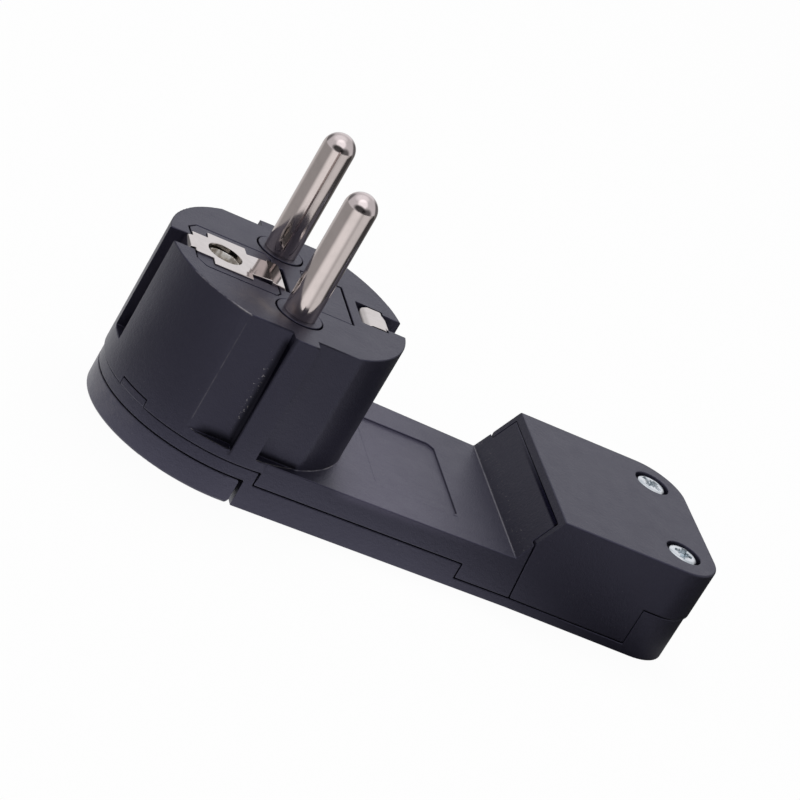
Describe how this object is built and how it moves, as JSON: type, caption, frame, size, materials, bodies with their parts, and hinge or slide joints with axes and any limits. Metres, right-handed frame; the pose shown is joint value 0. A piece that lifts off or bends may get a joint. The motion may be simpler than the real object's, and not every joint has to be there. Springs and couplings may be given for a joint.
{
  "type": "type f plug",
  "caption": "Right-angle earthed mains plug: round head with side earth contacts and an earth hole, flat neck, raised terminal box and a fold-out pull handle.",
  "frame": {"origin": "on the axis of the round head, in the plane of the flat back", "axes": "+Z along the pins towards their tips, +X from the head to the terminal box and its cable outlet, +Y across from pin to pin"},
  "size_m": [0.092, 0.0362, 0.0455],
  "materials": {
    "shell": "fine grained, matte",
    "inner_plastic": "moulded",
    "nickel": "nickel plated, lightly worn",
    "zinc": "zinc plated",
    "steel": "plain steel",
    "brass": "plain brass"
  },
  "bodies": {
    "body": {"head_shell": "shell", "base_shell": "shell", "terminal_cover": "shell", "contact_carrier": "shell", "handle_pivot_left": "steel", "handle_pivot_right": "steel", "line_pin": "nickel", "neutral_pin": "nickel", "earth_strip": "nickel", "earth_socket": "nickel", "line_busbar": "brass", "neutral_busbar": "brass", "earth_busbar": "brass", "terminal_bed": "inner_plastic", "cable_clamp": "inner_plastic", "line_terminal": "brass", "neutral_terminal": "brass", "earth_terminal": "brass", "line_terminal_screw": "steel", "neutral_terminal_screw": "steel", "earth_terminal_screw": "steel", "clamp_screw_left": "steel", "clamp_screw_right": "steel", "cover_screw_left": "zinc", "cover_screw_right": "zinc"},
    "handle": {"pull_handle": "shell"}
  },
  "joints": [
    {"name": "handle_swing", "type": "hinge", "parent": "body", "child": "handle", "pos_m": [0.0003, 0, 0.00145], "axis": [0, -1, 0], "range_deg": [0, 90]}
  ]
}
